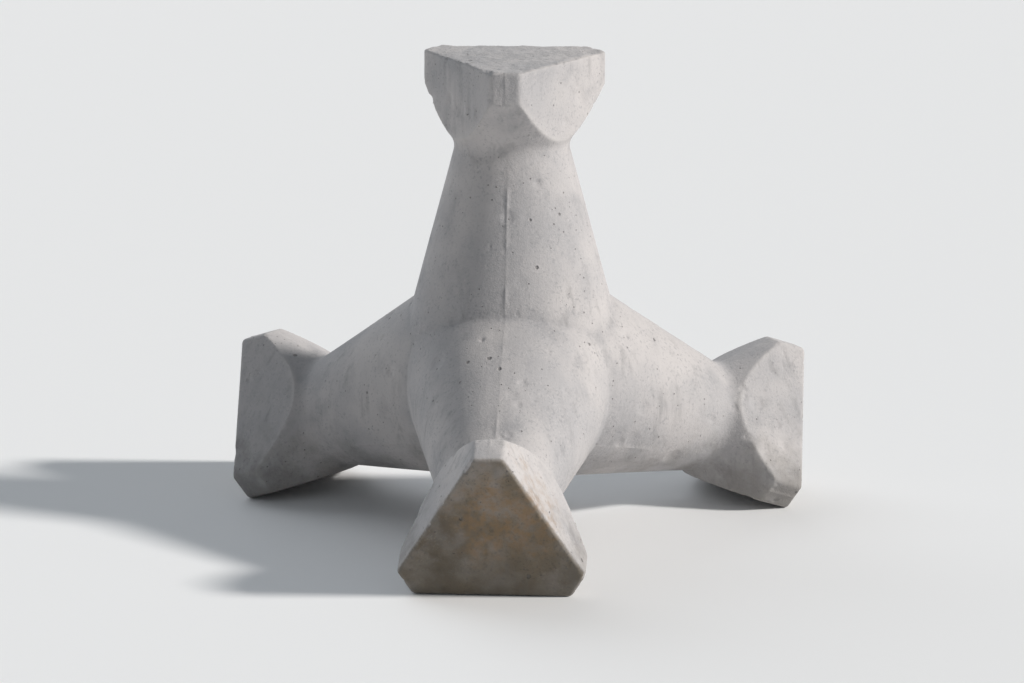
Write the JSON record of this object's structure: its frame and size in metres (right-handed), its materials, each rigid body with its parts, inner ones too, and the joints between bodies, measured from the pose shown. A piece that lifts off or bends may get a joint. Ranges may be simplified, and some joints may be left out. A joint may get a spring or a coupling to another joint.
{
  "type": "concrete tetrapod with three-cornered heads",
  "caption": "Cast concrete breakwater armour unit: tapering round legs spread evenly from one centre, each ending in a flared three-cornered head.",
  "frame": {"origin": "the point where the axes of the four legs meet, which is the centre of mass", "axes": "+Z along the leg that stands up, +X over one of the three legs that the unit stands on"},
  "size_m": [2.8539, 3.0314, 2.4837],
  "materials": {
    "concrete": "weathered cast concrete, rough"
  },
  "bodies": {
    "root": {"concrete_tetrapod": "concrete"}
  },
  "joints": []
}
